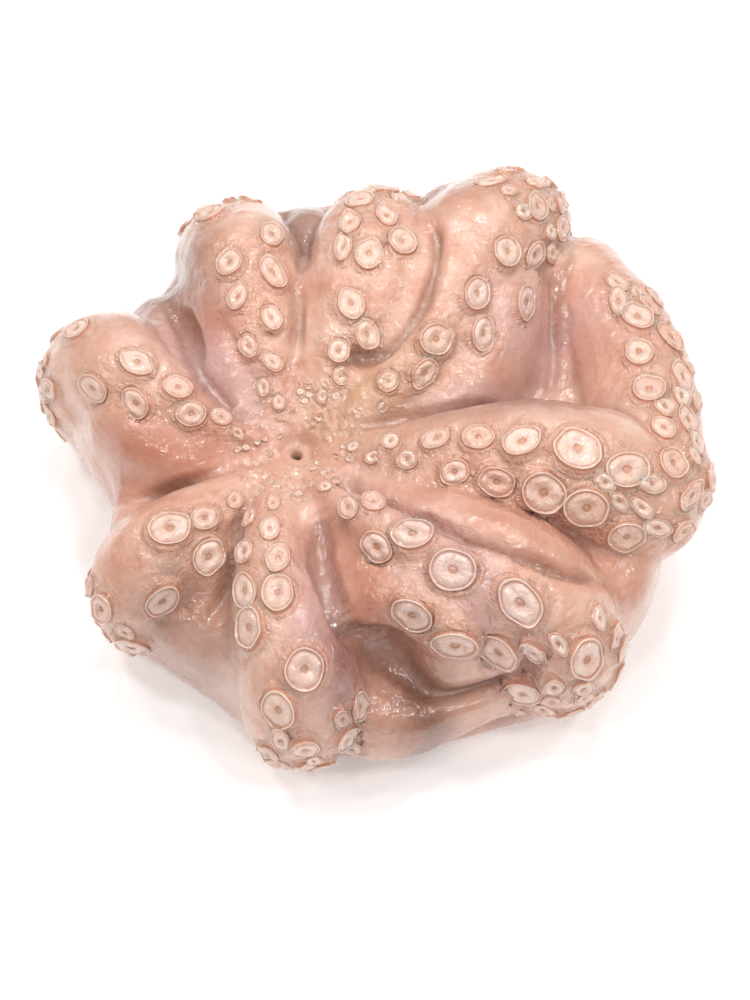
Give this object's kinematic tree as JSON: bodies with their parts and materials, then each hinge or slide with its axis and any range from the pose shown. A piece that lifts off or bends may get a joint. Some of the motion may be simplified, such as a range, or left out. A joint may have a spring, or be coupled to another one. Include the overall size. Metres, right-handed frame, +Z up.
{
  "type": "whole octopus",
  "caption": "Whole raw octopus lying mouth up, its arms folded over the rim with rows of suckers, resting on its flat underside.",
  "frame": {"origin": "middle of the bounding box, on the plane the animal lies on", "axes": "+Z up out of the mouth side, +X towards the curled-back arm, -Y towards the front arms"},
  "size_m": [0.2355, 0.2279, 0.0888],
  "materials": {
    "raw_skin": "wet raw octopus skin, salmon to mauve pink with cream sucker discs, glossy water film"
  },
  "bodies": {
    "root": {"octopus": "raw_skin"}
  },
  "joints": []
}
